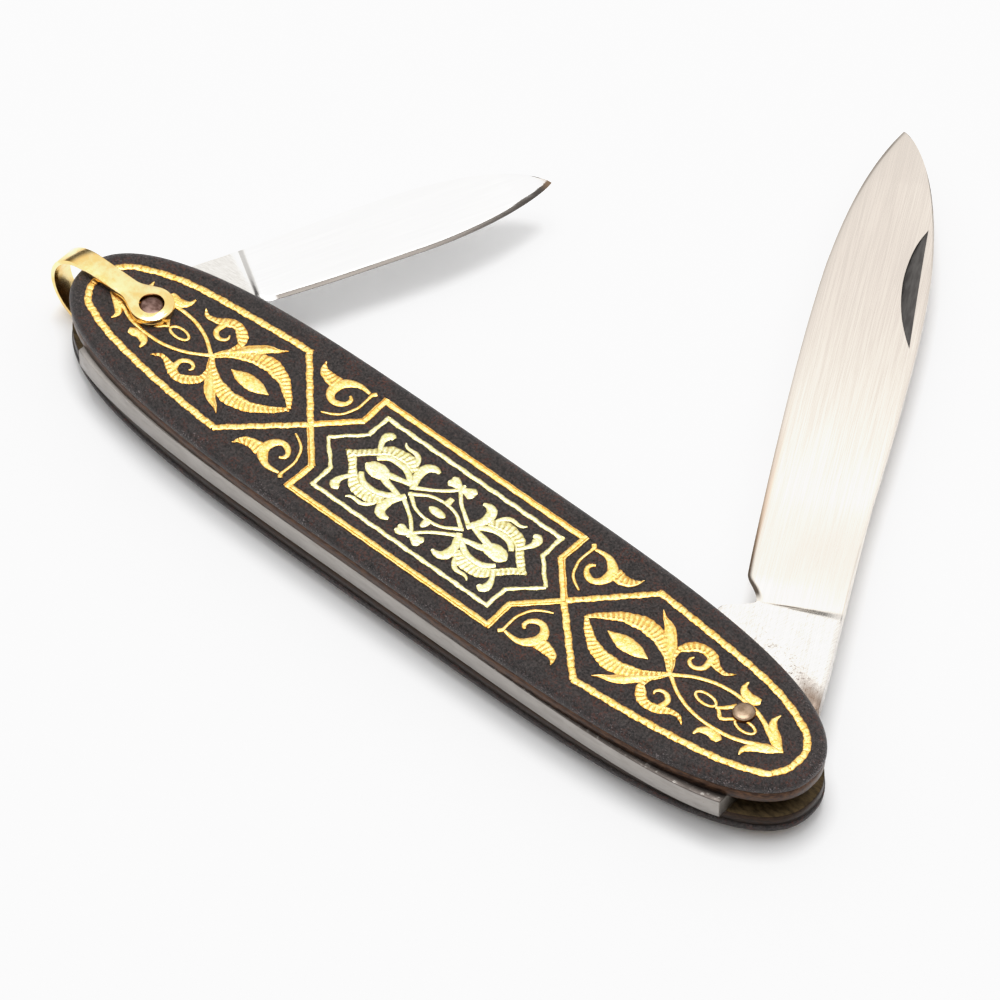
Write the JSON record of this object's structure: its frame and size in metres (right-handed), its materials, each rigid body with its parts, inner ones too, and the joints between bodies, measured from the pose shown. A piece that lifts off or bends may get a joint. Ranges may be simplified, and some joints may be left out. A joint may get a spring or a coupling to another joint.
{
  "type": "folding whittling knife",
  "caption": "Slim folding pen and whittling knife: blades hinged at both ends of an oval metal handle with gold-inlaid dark covers, a back spring and a hanging bail.",
  "frame": {"origin": "centre of the ornament on the back cover, on its outer face", "axes": "+X along the handle towards the main blade's pivot, +Y towards the side the blades swing out of, +Z out of the front cover"},
  "size_m": [0.0866, 0.0706, 0.0086],
  "materials": {
    "black_steel": "matte blackened steel with rust specks",
    "brass": "aged satin brass",
    "spring_steel": "worn satin steel",
    "blade_steel": "polished steel with fine scratches",
    "gilt": "polished pale gilding",
    "gold": "hammered gold inlay",
    "pale_gold": "pale gold inlay",
    "pin_steel": "browned steel"
  },
  "bodies": {
    "handle": {"front_cover": "black_steel", "back_cover": "black_steel", "front_liner": "brass", "back_liner": "brass", "backspring": "spring_steel", "main_pivot_pin": "pin_steel", "pen_pivot_pin": "pin_steel", "spring_pin": "pin_steel", "front_bail_washer": "gilt", "back_bail_washer": "gilt", "front_border_inlay": "gold", "front_main_end_inlay": "gold", "front_bail_end_inlay": "gold", "front_corner_scroll_a": "gold", "front_corner_scroll_b": "gold", "front_corner_scroll_c": "gold", "front_corner_scroll_d": "gold", "front_panel_frame_inlay": "pale_gold", "front_centre_inlay": "pale_gold", "front_centre_oval_inlay": "pale_gold", "back_border_inlay": "gold", "back_main_end_inlay": "gold", "back_bail_end_inlay": "gold", "back_corner_scroll_a": "gold", "back_corner_scroll_b": "gold", "back_corner_scroll_c": "gold", "back_corner_scroll_d": "gold", "back_panel_frame_inlay": "pale_gold", "back_centre_inlay": "pale_gold", "back_centre_oval_inlay": "pale_gold"},
    "main_blade_assembly": {"main_blade": "blade_steel"},
    "pen_blade_assembly": {"pen_blade": "blade_steel"},
    "bail_assembly": {"bail": "gilt"}
  },
  "joints": [
    {"name": "main_blade_fold", "type": "hinge", "parent": "handle", "child": "main_blade_assembly", "pos_m": [0.0335, 0.00096, 0.00355], "axis": [0, 0, 1], "range_deg": [-118.9, 58.2]},
    {"name": "pen_blade_fold", "type": "hinge", "parent": "handle", "child": "pen_blade_assembly", "pos_m": [-0.0335, 0.00041, 0.00355], "axis": [0, 0, 1], "range_deg": [-62.8, 113.2]},
    {"name": "bail_swing", "type": "hinge", "parent": "handle", "child": "bail_assembly", "pos_m": [-0.0335, 0.00041, 0.00355], "axis": [0, 0, 1], "range_deg": [-90, 90]}
  ],
  "couplings": [
    {"joint": "bail_swing", "follows": "pen_blade_fold", "ratio": 0.5}
  ]
}
